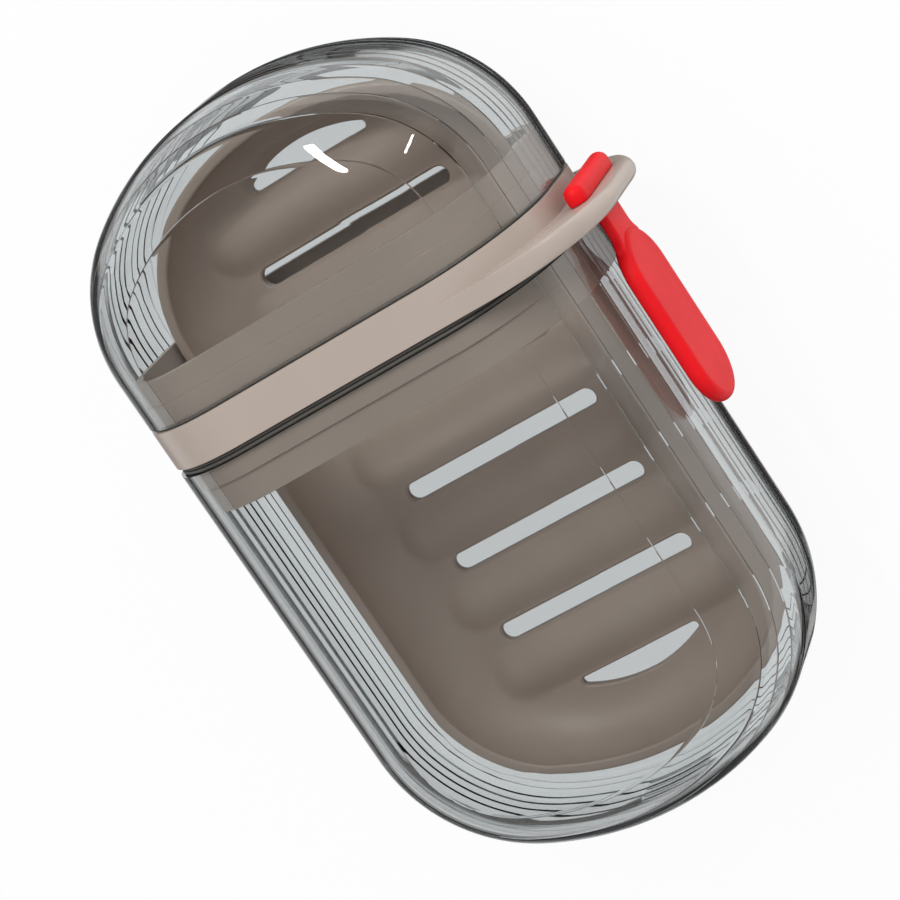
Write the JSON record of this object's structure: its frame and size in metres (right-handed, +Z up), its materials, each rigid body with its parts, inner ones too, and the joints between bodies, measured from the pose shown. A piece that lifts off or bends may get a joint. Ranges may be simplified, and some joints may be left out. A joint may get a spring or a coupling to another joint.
{
  "type": "travel soap box",
  "caption": "Clear travel soap box: a long tub and a short cap plug onto a collar with a slotted drain tray, and a soft pull strap hangs from the collar's ear.",
  "frame": {"origin": "on the flat underside, half way along the closed box and in the middle of the shells' width", "axes": "+X along the box from the body end to the cap end, +Z up from the underside, strap on the -Y side"},
  "size_m": [0.1396, 0.0896, 0.05],
  "materials": {
    "clear_shell": "clear grey-tinted polished moulding",
    "beige_moulding": "satin moulding",
    "seal": "smooth silicone",
    "strap": "satin soft silicone"
  },
  "bodies": {
    "body": {"body_shell": "clear_shell"},
    "collar": {"collar": "beige_moulding", "drain_tray": "beige_moulding", "body_seal": "seal", "cap_seal": "seal", "strap_head": "strap"},
    "cap": {"cap_shell": "clear_shell"},
    "strap": {"strap_paddle": "strap"}
  },
  "joints": [
    {"name": "collar_pull", "type": "slide", "parent": "body", "child": "collar", "axis": [1, 0, 0], "range_m": [0, 0.09]},
    {"name": "cap_pull", "type": "slide", "parent": "collar", "child": "cap", "axis": [1, 0, 0], "range_m": [0, 0.04]},
    {"name": "strap_bend", "type": "hinge", "parent": "collar", "child": "strap", "pos_m": [0.0209, -0.04442, 0.025], "axis": [0, 0, 1], "range_deg": [0, 90], "stiffness_Nm_per_rad": 0.01}
  ]
}
